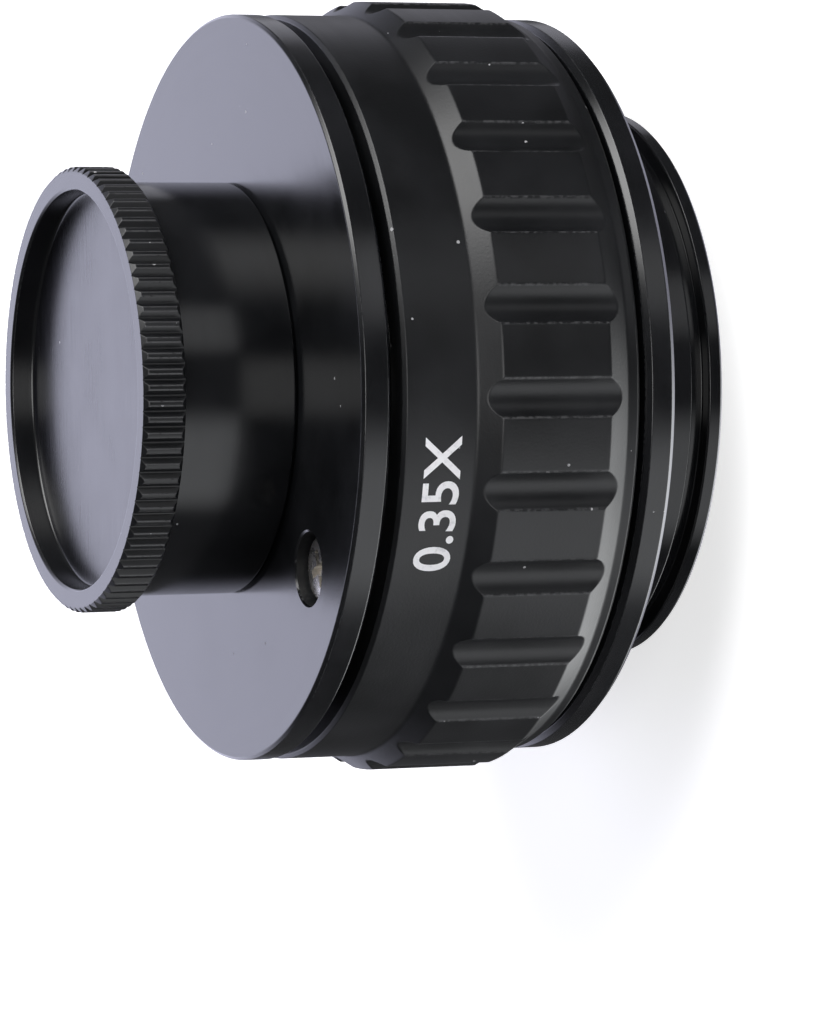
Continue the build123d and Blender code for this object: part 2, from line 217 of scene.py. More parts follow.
def threadColumns(thread):
    # a ridge that winds round a core and fades out at both ends
    low, high, pitch, starts = thread["low"], thread["high"], thread["pitch"], thread["starts"]
    count = int((high - low) / thread["rowStep"])
    columns = []
    for angle in evenAngles(thread["columns"]):
        column = [(thread["inside"], low)]
        for j in range(count + 1):
            z = low + (high - low) * j / count
            phase = (z / pitch - starts * angle / (2 * math.pi)) % 1.0
            ridge = max(0.0, min(1.0, ridgeForm["top"] - abs(phase - 0.5) * ridgeForm["slope"]))
            ends = min(1.0, (z - low) / thread["fade"], (high - z) / thread["fade"])
            height = (thread["crest"] - thread["root"]) * ridge * max(0.0, ends)
            column.append((thread["root"] + height, z))
        column.append((thread["inside"], high))
        columns.append(column)
    return columns


# Node tools

def addNode(tree, kind, place=(0, 0), **settings):
    made = tree.nodes.new(kind)
    made.location = place
    for key, value in settings.items():
        setattr(made, key, value)
    return made


def feed(tree, value, socket):
    # a number or a colour is written on the socket, and anything else is linked to it
    if isinstance(value, (int, float)):
        socket.default_value = value
    elif isinstance(value, tuple):
        socket.default_value = (*value, 1)
    else:
        tree.links.new(value, socket)


def mathNode(tree, operation, *values):
    made = addNode(tree, "ShaderNodeMath", operation=operation)
    for i, value in enumerate(values):
        feed(tree, value, made.inputs[i])
    return made.outputs[0]


def mapRange(tree, value, low, high, toLow=0.0, toHigh=1.0, smooth=False):
    made = addNode(tree, "ShaderNodeMapRange", interpolation_type="SMOOTHSTEP" if smooth else "LINEAR")
    tree.links.new(value, made.inputs["Value"])
    for label, limit in (("From Min", low), ("From Max", high), ("To Min", toLow), ("To Max", toHigh)):
        made.inputs[label].default_value = limit
    return made.outputs["Result"]


def newGroup(name, inputs, outputs):
    group = bpy.data.node_groups.new(name, "ShaderNodeTree")
    for label, value in inputs.items():
        socket = group.interface.new_socket(label, in_out="INPUT", socket_type="NodeSocketFloat")
        socket.default_value = value
    for label in outputs:
        group.interface.new_socket(label, in_out="OUTPUT", socket_type="NodeSocketFloat")
    start = addNode(group, "NodeGroupInput", (-900, 0))
    end = addNode(group, "NodeGroupOutput", (900, 0))
    return group, start, end


def restPlace(tree):
    # position in the part's own frame, which goes with the piece when it moves
    return addNode(tree, "ShaderNodeTexCoord", (-1200, 0)).outputs["Object"]


# a lathe's marks show as fine lines in the height, and as wide streaks in the shine
turningNoise = {"Height": {"scale": 1.0, "detail": 2.0}, "Streaks": {"scale": 0.13, "detail": 4.0}}
grainNoise = {"Height": {"source": "Grain", "detail": 3.0}, "Cloudiness": {"source": "Cloud", "detail": 4.0}}
rubbing = {"detail": 5.0, "middle": 0.5, "patchFrom": 0.42, "patchTo": 0.6}


def makeTurningGroup():
    # fine rings that a lathe tool leaves, round the axis on faces, cones and cylinders alike
    group, start, end = newGroup("turningMarks", {"Lines": 9000.0, "Waver": 2.0}, ["Height", "Streaks"])
    place = addNode(group, "ShaderNodeSeparateXYZ")
    group.links.new(restPlace(group), place.inputs[0])
    squares = mathNode(group, "ADD", mathNode(group, "POWER", place.outputs[0], 2.0),
                       mathNode(group, "POWER", place.outputs[1], 2.0))
    along = mathNode(group, "ADD", mathNode(group, "SQRT", squares), place.outputs[2])
    turn = mathNode(group, "ARCTAN2", place.outputs[1], place.outputs[0])
    for label, marks in turningNoise.items():
        spot = addNode(group, "ShaderNodeCombineXYZ")
        lines = mathNode(group, "MULTIPLY", start.outputs["Lines"], marks["scale"])
        group.links.new(mathNode(group, "MULTIPLY", along, lines), spot.inputs[0])
        group.links.new(mathNode(group, "MULTIPLY", turn, start.outputs["Waver"]), spot.inputs[1])
        noise = addNode(group, "ShaderNodeTexNoise", noise_dimensions="2D")
        noise.inputs["Scale"].default_value = 1.0
        noise.inputs["Detail"].default_value = marks["detail"]
        group.links.new(spot.outputs[0], noise.inputs["Vector"])
        group.links.new(noise.outputs["Fac"], end.inputs[label])
    return group


def makeGrainGroup():
    # bead-blasted grain under the anodising, with slower cloudiness
    group, start, end = newGroup("blastedGrain", {"Grain": 7000.0, "Cloud": 160.0}, ["Height", "Cloudiness"])
    place = restPlace(group)
    for label, layer in grainNoise.items():
        noise = addNode(group, "ShaderNodeTexNoise")
        noise.inputs["Detail"].default_value = layer["detail"]
        group.links.new(place, noise.inputs["Vector"])
        group.links.new(start.outputs[layer["source"]], noise.inputs["Scale"])
        group.links.new(noise.outputs["Fac"], end.inputs[label])
    return group


def makeDustGroup():
    # few pale specks of lint and dust, in cells of which most stay empty
    group, start, end = newGroup("dustSpecks", {"Cells": 900.0, "Share": 0.08, "Size": 0.1}, ["Dust"])
    cells = addNode(group, "ShaderNodeTexVoronoi", feature="F1")
    group.links.new(restPlace(group), cells.inputs["Vector"])
    group.links.new(start.outputs["Cells"], cells.inputs["Scale"])
    chance = addNode(group, "ShaderNodeSeparateColor")
    group.links.new(cells.outputs["Color"], chance.inputs[0])
    chosen = mathNode(group, "LESS_THAN", chance.outputs[0], start.outputs["Share"])
    reach = mathNode(group, "MULTIPLY", start.outputs["Size"], chance.outputs[1])
    near = mathNode(group, "LESS_THAN", cells.outputs["Distance"], reach)
    group.links.new(mathNode(group, "MULTIPLY", chosen, near), end.inputs["Dust"])
    return group


def makeEdgeGroup():
    # edges where the anodising is rubbed thin, broken up by noise, and corners where dust stays
    group, start, end = newGroup("rubbedEdges", {"Broken": 0.5, "Grit": 2600.0}, ["Rub", "Edge", "Corner"])
    bend = addNode(group, "ShaderNodeAttribute", attribute_name="edgeBend").outputs["Fac"]
    convex = mathNode(group, "MAXIMUM", bend, 0.0)
    noise = addNode(group, "ShaderNodeTexNoise")
    noise.inputs["Detail"].default_value = rubbing["detail"]
    group.links.new(restPlace(group), noise.inputs["Vector"])
    group.links.new(start.outputs["Grit"], noise.inputs["Scale"])
    lift = mathNode(group, "SUBTRACT", rubbing["middle"], start.outputs["Broken"])
    lifted = mathNode(group, "ADD", noise.outputs["Fac"], lift)
    patchy = mapRange(group, lifted, rubbing["patchFrom"], rubbing["patchTo"])
    group.links.new(mathNode(group, "MULTIPLY", convex, patchy), end.inputs["Rub"])
    group.links.new(convex, end.inputs["Edge"])
    inner = mathNode(group, "MAXIMUM", mathNode(group, "MULTIPLY", bend, -1.0), 0.0)
    group.links.new(mathNode(group, "MULTIPLY", inner, noise.outputs["Fac"]), end.inputs["Corner"])
    return group


turningGroup = makeTurningGroup()
grainGroup = makeGrainGroup()
dustGroup = makeDustGroup()
edgeGroup = makeEdgeGroup()
print("shared effects ready")


def useGroup(tree, group, **values):
    made = addNode(tree, "ShaderNodeGroup")
    made.node_tree = group
    for label, value in values.items():
        feed(tree, value, made.inputs[label])
    return made.outputs


# a mix node's colour sockets share their names with its others, so they are picked by number
mixSockets = {"colours": (6, 7), "result": 2}


def mixColours(tree, share, first, second):
    made = addNode(tree, "ShaderNodeMix", data_type="RGBA")
    feed(tree, share, made.inputs["Factor"])
    for index, value in zip(mixSockets["colours"], (first, second)):
        feed(tree, value, made.inputs[index])
    return made.outputs[mixSockets["result"]]


def newMaterial(name, **plain):
    material = bpy.data.materials.new(name)
    material.use_nodes = True
    shader = material.node_tree.nodes["Principled BSDF"]
    for label, value in plain.items():
        shader.inputs[label.replace("_", " ")].default_value = value
    return material, material.node_tree, shader


bumpDepth = 0.00001  # in metres, for every finish


def bumpInto(tree, shader, height, strength):
    bump = addNode(tree, "ShaderNodeBump")
    bump.inputs["Strength"].default_value = strength
    bump.inputs["Distance"].default_value = bumpDepth
    tree.links.new(height, bump.inputs["Height"])
    tree.links.new(bump.outputs["Normal"], shader.inputs["Normal"])


# Finishes

wholeNoise = (0.3, 0.7)  # nearly all of a noise texture lies between these
anodised = {
    "black": (0.0042, 0.0045, 0.0052),
    "worn": (0.030, 0.031, 0.035),
    "bare": (0.30, 0.30, 0.31),
    "dust": (0.42, 0.42, 0.43),
    "cloud": 160.0, "cloudFrom": 0.35, "cloudTo": 0.65, "cloudTint": 0.2, "cloudRough": 0.03,
    "waver": 1.5, "grit": 3200.0, "bump": 0.6,
    "speckSize": 0.3, "speckCover": 0.8, "speckRough": 0.4, "speckHeight": 2.0,
}


def anodisedMaterial(name, finish):
    # black anodised aluminium: blasted or turned, with rubbed edges and a little dust
    material, tree, shader = newMaterial(name, Specular_IOR_Level=finish["gloss"])
    d = anodised
    grain = useGroup(tree, grainGroup, Grain=finish["grain"], Cloud=d["cloud"])
    marks = useGroup(tree, turningGroup, Lines=finish["lines"], Waver=d["waver"])
    rub = useGroup(tree, edgeGroup, Broken=finish["broken"], Grit=d["grit"])
    nearEdge = mathNode(tree, "MULTIPLY_ADD", rub["Edge"], finish["edgeDust"], finish["dustShare"])
    dust = useGroup(tree, dustGroup, Cells=finish["dustCells"], Share=nearEdge, Size=d["speckSize"])
    specks = dust["Dust"]
    cloudy = mapRange(tree, grain["Cloudiness"], d["cloudFrom"], d["cloudTo"])
    colour = mixColours(tree, mathNode(tree, "MULTIPLY", cloudy, d["cloudTint"]), d["black"], d["worn"])
    colour = mixColours(tree, mathNode(tree, "MULTIPLY", rub["Rub"], finish["wear"]), colour, d["bare"])
    colour = mixColours(tree, mathNode(tree, "MULTIPLY", specks, d["speckCover"]), colour, d["dust"])
    tree.links.new(colour, shader.inputs["Base Color"])
    smoothest, roughest = finish["rough"] - d["cloudRough"], finish["rough"] + d["cloudRough"]
    rough = mapRange(tree, grain["Cloudiness"], *wholeNoise, smoothest, roughest)
    streak = mapRange(tree, marks["Streaks"], *wholeNoise, -finish["streak"], finish["streak"])
    rough = mathNode(tree, "ADD", rough, streak)
    rough = mathNode(tree, "ADD", rough, mathNode(tree, "MULTIPLY", specks, d["speckRough"]))
    tree.links.new(rough, shader.inputs["Roughness"])
    height = mathNode(tree, "ADD", mathNode(tree, "MULTIPLY", grain["Height"], finish["grainDepth"]),
                      mathNode(tree, "MULTIPLY", marks["Height"], finish["lineDepth"]))
    height = mathNode(tree, "ADD", height, mathNode(tree, "MULTIPLY", specks, d["speckHeight"]))
    bumpInto(tree, shader, height, d["bump"])
    return material


finishes = {
    "blackSatin": {"gloss": 0.45, "rough": 0.37, "grain": 5600.0, "grainDepth": 1.3, "lines": 9000.0,
                   "lineDepth": 0.2, "streak": 0.01, "wear": 0.16, "broken": 0.5,
                   "dustCells": 2400.0, "dustShare": 0.006, "edgeDust": 0.05},
    "blackTurned": {"gloss": 0.55, "rough": 0.2, "grain": 9000.0, "grainDepth": 0.3, "lines": 11000.0,
                    "lineDepth": 0.3, "streak": 0.012, "wear": 0.3, "broken": 0.45,
                    "dustCells": 2200.0, "dustShare": 0.003, "edgeDust": 0.08},
    "tailBlack": {"gloss": 0.4, "rough": 0.13, "grain": 9000.0, "grainDepth": 0.15, "lines": 11000.0,
                  "lineDepth": 0.25, "streak": 0.01, "wear": 0.15, "broken": 0.4,
                  "dustCells": 2000.0, "dustShare": 0.003, "edgeDust": 0.03},
    "capGloss": {"gloss": 0.5, "rough": 0.17, "grain": 6000.0, "grainDepth": 0.15, "lines": 12000.0,
                 "lineDepth": 0.2, "streak": 0.015, "wear": 0.25, "broken": 0.5,
                 "dustCells": 2000.0, "dustShare": 0.003, "edgeDust": 0.04},
    "knurlBlack": {"gloss": 0.5, "rough": 0.34, "grain": 6500.0, "grainDepth": 0.9, "lines": 9000.0,
                   "lineDepth": 0.2, "streak": 0.01, "wear": 0.22, "broken": 0.35,
                   "dustCells": 2600.0, "dustShare": 0.004, "edgeDust": 0.06},
    "insideBlack": {"gloss": 0.3, "rough": 0.55, "grain": 5000.0, "grainDepth": 0.8, "lines": 7000.0,
                    "lineDepth": 0.6, "streak": 0.03, "wear": 0.05, "broken": 0.5,
                    "dustCells": 1500.0, "dustShare": 0.003, "edgeDust": 0.0},
}
blacks = {name: anodisedMaterial(name, finish) for name, finish in finishes.items()}


brushed = {
    "gloss": 0.55, "lineScale": (160.0, 5200.0, 160.0), "lineDetail": 4.0, "pale": (0.012, 0.012, 0.016),
    "grain": 8000.0, "cloud": 220.0, "smoothest": 0.19, "roughest": 0.25, "streakRough": 0.05,
    "dustCells": 1800.0, "dustShare": 0.004, "speckSize": 0.2, "bump": 0.25,
}


def brushedMaterial():
    # the cap's face: black anodised over straight, faint brush lines
    d = brushed
    material, tree, shader = newMaterial("capFaceBrushed", Specular_IOR_Level=d["gloss"])
    place = addNode(tree, "ShaderNodeMapping")
    tree.links.new(restPlace(tree), place.inputs["Vector"])
    place.inputs["Scale"].default_value = d["lineScale"]
    lines = addNode(tree, "ShaderNodeTexNoise")
    lines.inputs["Scale"].default_value = 1.0
    lines.inputs["Detail"].default_value = d["lineDetail"]
    tree.links.new(place.outputs["Vector"], lines.inputs["Vector"])
    grain = useGroup(tree, grainGroup, Grain=d["grain"], Cloud=d["cloud"])
    dust = useGroup(tree, dustGroup, Cells=d["dustCells"], Share=d["dustShare"], Size=d["speckSize"])
    streaks = mapRange(tree, lines.outputs["Fac"], *wholeNoise)
    colour = mixColours(tree, streaks, anodised["black"], d["pale"])
    tree.links.new(mixColours(tree, dust["Dust"], colour, anodised["dust"]), shader.inputs["Base Color"])
    cloudy = mapRange(tree, grain["Cloudiness"], *wholeNoise, d["smoothest"], d["roughest"])
    rough = mathNode(tree, "MULTIPLY_ADD", streaks, d["streakRough"], cloudy)
    tree.links.new(rough, shader.inputs["Roughness"])
    bumpInto(tree, shader, mathNode(tree, "ADD", lines.outputs["Fac"], grain["Height"]), d["bump"])
    return material


capFace = brushedMaterial()


plated = {
    "grain": 5200.0, "cloud": 1300.0, "lines": 15000.0, "waver": 4.0, "dullFrom": 0.42, "dullTo": 0.62,
    "roughSpread": 0.16, "bump": 0.5,
}


def metalMaterial(name, bright, dull, rough):
    # plated or blackened metal with fine scratches and duller patches
    d = plated
    material, tree, shader = newMaterial(name, Metallic=1.0)
    grain = useGroup(tree, grainGroup, Grain=d["grain"], Cloud=d["cloud"])
    marks = useGroup(tree, turningGroup, Lines=d["lines"], Waver=d["waver"])
    patches = mapRange(tree, grain["Cloudiness"], d["dullFrom"], d["dullTo"])
    tree.links.new(mixColours(tree, patches, bright, dull), shader.inputs["Base Color"])
    uneven = mapRange(tree, grain["Cloudiness"], *wholeNoise, rough, rough + d["roughSpread"])
    tree.links.new(uneven, shader.inputs["Roughness"])
    bumpInto(tree, shader, mathNode(tree, "ADD", marks["Height"], grain["Height"]), d["bump"])
    return material


nickel = metalMaterial("nickelPlate", (0.88, 0.86, 0.82), (0.66, 0.63, 0.58), 0.2)
darkSteel = metalMaterial("darkSteel", (0.16, 0.16, 0.17), (0.07, 0.07, 0.075), 0.3)


whites = {
    "whitePrint": {"fresh": (0.84, 0.84, 0.85), "thin": (0.62, 0.62, 0.64), "thinFrom": 0.55, "thinTo": 0.75,
                   "grain": 6000.0, "cloud": 2400.0, "smoothest": 0.42, "roughest": 0.55, "waxy": 0.0,
                   "bump": 0.4},
    "washerWhite": {"fresh": (0.80, 0.80, 0.78), "thin": (0.52, 0.51, 0.49), "thinFrom": 0.5, "thinTo": 0.7,
                    "grain": 3000.0, "cloud": 500.0, "smoothest": 0.4, "roughest": 0.5, "waxy": 0.1,
                    "bump": 0.3},
}


def whiteMaterial(name):
    # white ink that is thin in places, or a waxy washer that is grey where it has rubbed
    d = whites[name]
    material, tree, shader = newMaterial(name, Subsurface_Weight=d["waxy"])
    grain = useGroup(tree, grainGroup, Grain=d["grain"], Cloud=d["cloud"])
    thin = mapRange(tree, grain["Cloudiness"], d["thinFrom"], d["thinTo"])
    tree.links.new(mixColours(tree, thin, d["fresh"], d["thin"]), shader.inputs["Base Color"])
    rough = mapRange(tree, grain["Cloudiness"], *wholeNoise, d["smoothest"], d["roughest"])
    tree.links.new(rough, shader.inputs["Roughness"])
    bumpInto(tree, shader, grain["Height"], d["bump"])
    return material


glass = {
    "refraction": 1.52, "clear": (0.97, 0.98, 0.97, 1),
    "violet": (0.62, 0.42, 1.0), "green": (0.45, 1.0, 0.62),
    "grain": 300.0, "cloud": 90.0, "hazeFrom": 0.5, "hazeTo": 0.75, "haze": 0.02,
    "dustCells": 900.0, "dustShare": 0.04, "speckSize": 0.07, "speckRough": 0.4,
}


def glassMaterial(name, tint):
    # clear glass with a coating that reflects one colour more than the rest
    d = glass
    material, tree, shader = newMaterial(name, Transmission_Weight=1.0, IOR=d["refraction"],
                                         Base_Color=d["clear"])
    shader.inputs["Specular Tint"].default_value = (*tint, 1)
    grain = useGroup(tree, grainGroup, Grain=d["grain"], Cloud=d["cloud"])
    dust = useGroup(tree, dustGroup, Cells=d["dustCells"], Share=d["dustShare"], Size=d["speckSize"])
    haze = mapRange(tree, grain["Cloudiness"], d["hazeFrom"], d["hazeTo"], 0.0, d["haze"])
    rough = mathNode(tree, "ADD", haze, mathNode(tree, "MULTIPLY", dust["Dust"], d["speckRough"]))
    tree.links.new(rough, shader.inputs["Roughness"])
    return material


whitePrint = whiteMaterial("whitePrint")
washerWhite = whiteMaterial("washerWhite")
violetGlass = glassMaterial("violetCoatedGlass", glass["violet"])
greenGlass = glassMaterial("greenCoatedGlass", glass["green"])
print("materials ready")


def finished(piece, material, body, nodeName=None):
    piece.data.materials.clear()
    piece.data.materials.append(material)
    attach(piece, body)
    if nodeName:
        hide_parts(nodeName)


def paintFaces(piece, material, wanted):
    # one more finish, on the faces whose middle, as radius and height in millimetres, is wanted
    piece.data.materials.append(material)
    index = len(piece.data.materials) - 1
    for face in piece.data.polygons:
        x, y, z = face.center
        if wanted(math.hypot(x, y) / mm, z / mm):
            face.material_index = index


# Focus ring

# the edge radius is that of the bands beside the grip, which stand flush with the flange
focusRing = {
    "boreRadius": 22.65, "threadRadius": 23.1, "lipRadius": 21.05, "lipLow": 12.05, "lipHigh": 13.05,
    "edgeRadius": flangeRadius, "gripRise": 1.0,
    "stripLength": 0.9, "rearCone": 1.65, "frontCone": 1.45, "bandLength": 5.15, "edgeChamfer": 0.25,
    "flutes": 27, "fluteWidth": 2.6, "fluteDepth": 0.6, "fluteStart": -92.2,
    "softEdge": 0.05, "softCone": 0.14, "softRunOut": 0.1, "fluteBlend": 0.045, "columnsPerFlute": 48,
    "insideMargin": 0.1,
}


def softMin(a, b, blend):
    # the smaller of two, rounded where they cross
    gap = max(blend - abs(a - b), 0.0) / blend
    return min(a, b) - gap * gap * blend * 0.25


def ringColumn(groove):
    d = focusRing
    edge, grip = d["edgeRadius"], d["edgeRadius"] + d["gripRise"]
    share = (groove - edge) / (grip - edge)
    coneLow = ringBottom + d["stripLength"]
    coneHigh = ringTop - d["bandLength"]
    chamfer, soft = d["edgeChamfer"], d["softEdge"]
    return softOutline([
        (d["boreRadius"], ringBottom, soft),
        (edge - chamfer, ringBottom, soft),
        (edge, ringBottom + chamfer, soft),
        (edge, coneLow, d["softCone"]),
        (groove, coneLow + d["rearCone"] * share, d["softRunOut"]),
        (groove, coneHigh - d["frontCone"] * share, d["softRunOut"]),
        (edge, coneHigh, d["softCone"]),
        (edge, ringTop - chamfer, soft),
        (edge - chamfer, ringTop, soft),
        (d["threadRadius"] + chamfer, ringTop, soft),
        (d["threadRadius"], ringTop - chamfer, soft),
        (d["threadRadius"], d["lipHigh"], 0),
        (d["lipRadius"], d["lipHigh"], soft),
        (d["lipRadius"], d["lipLow"], soft),
        (d["boreRadius"], d["lipLow"], 0),
    ])


def buildFocusRing():
    d = focusRing
    grip = d["edgeRadius"] + d["gripRise"]
    cutter = (d["fluteWidth"] ** 2 / 4 + d["fluteDepth"] ** 2) / (2 * d["fluteDepth"])
    axisRadius = grip - d["fluteDepth"] + cutter
    perFlute = d["columnsPerFlute"]
    pitch = 2 * math.pi / d["flutes"]
    columns, angles = [], []
    for i in range(d["flutes"] * perFlute):
        turn = ((i % perFlute) / perFlute - 0.5) * pitch
        inside = cutter ** 2 - (axisRadius * math.sin(turn)) ** 2
        floor = axisRadius * math.cos(turn) - math.sqrt(inside) if inside > 0 else grip + 1
        columns.append(ringColumn(softMin(grip, floor, d["fluteBlend"])))
        angles.append(math.radians(d["fluteStart"]) + (i / perFlute - 0.5) * pitch)
    piece = meshFromColumns("focusRingWithFlutes", columns, angles)
    finished(piece, blacks["blackSatin"], "focus", "focus_ring")
    paintFaces(piece, blacks["insideBlack"], lambda r, z: r < d["threadRadius"] + d["insideMargin"])


buildFocusRing()


# Magnification mark on the ring's band

mark = {
    "text": "0.35X", "height": 2.6, "length": 9.3, "middleAngle": -108.1, "baseline": 21.6,
    "proud": 0.012, "weight": 0.012, "curveSteps": 6, "longestEdge": 0.12, "passes": 2, "cuts": 2,
}


def buildMark():
    curve = bpy.data.curves.new("markText", "FONT")
    curve.body = mark["text"]
    curve.size = 1.0
    curve.offset = mark["weight"]
    curve.resolution_u = mark["curveSteps"]
    letters = placed("markText", curve)
    mesh = finalMesh(letters)
    bpy.data.objects.remove(letters)
    xs = [v.co.x for v in mesh.vertices]
    ys = [v.co.y for v in mesh.vertices]
    left, wide, low, tall = min(xs), max(xs) - min(xs), min(ys), max(ys) - min(ys)
    work = bmesh.new()
    work.from_mesh(mesh)
    bmesh.ops.triangulate(work, faces=work.faces)
    for k in range(mark["passes"]):
        long = [e for e in work.edges if e.calc_length() > mark["longestEdge"]]
        bmesh.ops.subdivide_edges(work, edges=long, cuts=mark["cuts"], use_grid_fill=True)
    radius = focusRing["edgeRadius"] + mark["proud"]
    for vert in work.verts:
        along = ((vert.co.x - left) / wide - 0.5) * mark["length"]
        height = mark["baseline"] + (vert.co.y - low) / tall * mark["height"]
        angle = math.radians(mark["middleAngle"]) + along / focusRing["edgeRadius"]
        vert.co = (radius * math.cos(angle) * mm, radius * math.sin(angle) * mm, height * mm)
    bmesh.ops.recalc_face_normals(work, faces=work.faces)
    work.to_mesh(mesh)
    work.free()
    mesh.shade_smooth()
    finished(placed("magnificationMark", mesh), whitePrint, "focus")


buildMark()
print("focus ring built")


# Front barrel with flange, camera thread and guide hole

barrel = {
    "cellThread": 15.55, "roofLow": flangeTop - 2.2, "flangeThickness": 2.0, "flangeChamfer": 0.22,
    "sleeveRoot": 22.7, "sleeveCrest": 23.05, "noseCrest": 12.7, "noseRoot": 12.28, "noseBore": 11.2,
    "reliefRadius": 12.2, "reliefWidth": 0.6, "reliefCone": 0.1, "noseEnd": 0.1, "noseChamfer": 0.15,
    "boreChamfer": 0.2, "soft": 0.05, "softFoot": 0.1, "columns": 300, "sleeveInside": 22.0,
    "boreMargin": 0.05, "roofMargin": 0.1,
}
guide = {
    "radius": 19.4, "angle": -128.4, "holeRadius": 2.45, "holeLow": 22.0, "mouthChamfer": 0.12,
    "shankHole": 1.55, "headRadius": 2.2, "headHigh": flangeTop - 0.75, "headHeight": 1.8,
    "shankRadius": 1.5, "threadRadius": 1.25, "threadLength": 4.6, "tapHole": 1.3, "tapDeeper": 0.4,
    "crossSpan": 2.6, "crossWidth": 0.6, "crossDepth": 0.9, "crossTurn": 20.0,
    "headChamfer": 0.2, "threadChamfer": 0.25, "soft": 0.05, "softRim": 0.06, "softUnderHead": 0.08,
    "cutPast": 1, "cutIntoHole": 0.5, "columns": 72,
}
holeColumns = {"head": 64, "shank": 48, "tap": 40}
guidePlace = (guide["radius"] * math.cos(math.radians(guide["angle"])),
              guide["radius"] * math.sin(math.radians(guide["angle"])))


def buildBarrel():
    d, soft = barrel, barrel["soft"]
    flangeLow = flangeTop - d["flangeThickness"]
    piece = turned("barrelWithFlange", [
        (d["cellThread"], barrelFoot, soft),
        (d["sleeveRoot"], barrelFoot, d["softFoot"]),
        (d["sleeveRoot"], flangeLow, 0),
        (flangeRadius - d["flangeChamfer"], flangeLow, soft),
        (flangeRadius, flangeLow + d["flangeChamfer"], soft),
        (flangeRadius, flangeTop - d["flangeChamfer"], soft),
        (flangeRadius - d["flangeChamfer"], flangeTop, soft),
        (d["reliefRadius"], flangeTop, 0),
        (d["reliefRadius"], flangeTop + d["reliefWidth"], 0),
        (d["noseRoot"], flangeTop + d["reliefWidth"] + d["reliefCone"], 0),
        (d["noseRoot"], noseTop - d["noseEnd"], soft),
        (d["noseRoot"] - d["noseChamfer"], noseTop, soft),
        (d["noseBore"] + d["boreChamfer"], noseTop, soft),
        (d["noseBore"], noseTop - d["boreChamfer"], soft),
        (d["noseBore"], d["roofLow"], soft),
        (d["cellThread"], d["roofLow"], 0),
    ], d["columns"])
    hole = turned("holeCutter", [
        (0, guide["holeLow"], 0),
        (guide["holeRadius"], guide["holeLow"], 0),
        (guide["holeRadius"], flangeTop - guide["mouthChamfer"], 0),
        (guide["holeRadius"] + guide["mouthChamfer"] * 2, flangeTop + guide["mouthChamfer"], 0),
        (0, flangeTop + guide["mouthChamfer"], 0),
    ], holeColumns["head"])
    shankLow, shankHigh = barrelFoot - guide["cutPast"], guide["holeLow"] + guide["cutIntoHole"]
    shank = turned("shankCutter", [
        (0, shankLow, 0),
        (guide["shankHole"], shankLow, 0),
        (guide["shankHole"], shankHigh, 0),
        (0, shankHigh, 0),
    ], holeColumns["shank"])
    cutWith(piece, moved(hole, *guidePlace), moved(shank, *guidePlace))
    markSharp(piece, sharpFrom)
    evenShading(piece)
    finished(piece, blacks["blackTurned"], "front", "front_barrel")
    boreReach, roof = d["noseBore"] + d["boreMargin"], d["roofLow"] + d["roofMargin"]
    paintFaces(piece, blacks["insideBlack"],
               lambda r, z: r < boreReach or (z < roof and r < d["sleeveInside"]))


# threads stand on the turned core; their roots lie just under its surface
rootUnder = 0.01
sleeveThread = {
    "low": barrelFoot + 0.15, "high": flangeTop - 2.9, "pitch": 1.5, "starts": 6, "rowStep": 0.12,
    "columns": 360, "inside": 22.4, "root": barrel["sleeveRoot"] - rootUnder, "crest": barrel["sleeveCrest"],
    "fade": 0.5,
}
noseThread = {
    "low": flangeTop + 0.7, "high": noseTop, "pitch": 0.794, "starts": 1, "rowStep": 0.06,
    "columns": 240, "inside": 12.0, "root": barrel["noseRoot"] - rootUnder, "crest": barrel["noseCrest"],
    "fade": 0.35,
}


def buildThread(name, thread, body, material):
    piece = meshFromColumns(name, threadColumns(thread), evenAngles(thread["columns"]))
    finished(piece, material, body)


buildBarrel()
buildThread("sleeveThread", sleeveThread, "front", blacks["blackTurned"])
buildThread("cameraThread", noseThread, "front", blacks["blackTurned"])
print("barrel built")


# Guide screw

def buildGuideScrew():
    d = guide
    headLow = d["headHigh"] - d["headHeight"]
    screwEnd = tubeTop - d["threadLength"]
    piece = turned("guideScrewWithHead", [
        (0, screwEnd, 0),
        (d["threadRadius"] - d["threadChamfer"], screwEnd, d["soft"]),
        (d["threadRadius"], screwEnd + d["threadChamfer"], d["soft"]),
        (d["threadRadius"], tubeTop, 0),
        (d["shankRadius"], tubeTop, d["soft"]),
        (d["shankRadius"], headLow, 0),
        (d["headRadius"], headLow, d["softUnderHead"]),
        (d["headRadius"], d["headHigh"] - d["headChamfer"], d["softRim"]),
        (d["headRadius"] - d["headChamfer"], d["headHigh"], d["softRim"]),
        (0, d["headHigh"], 0),
    ], d["columns"])
    arms = ((d["crossSpan"], d["crossWidth"]), (d["crossWidth"], d["crossSpan"]))
    for arm, (long, wide) in enumerate(arms):
        cutter = blockAt("crossCutter%d" % arm, (-long / 2, -wide / 2, d["headHigh"] - d["crossDepth"]),
                         (long / 2, wide / 2, d["headHigh"] + d["cutIntoHole"]))
        cutter.data.transform(Matrix.Rotation(math.radians(d["crossTurn"]), 4, "Z"))
        cutWith(piece, cutter)
    moved(piece, *guidePlace)
    markSharp(piece, sharpFrom)
    evenShading(piece)
    finished(piece, nickel, "rear", "guide_screw")


buildGuideScrew()
print("guide screw built")


# Rear body

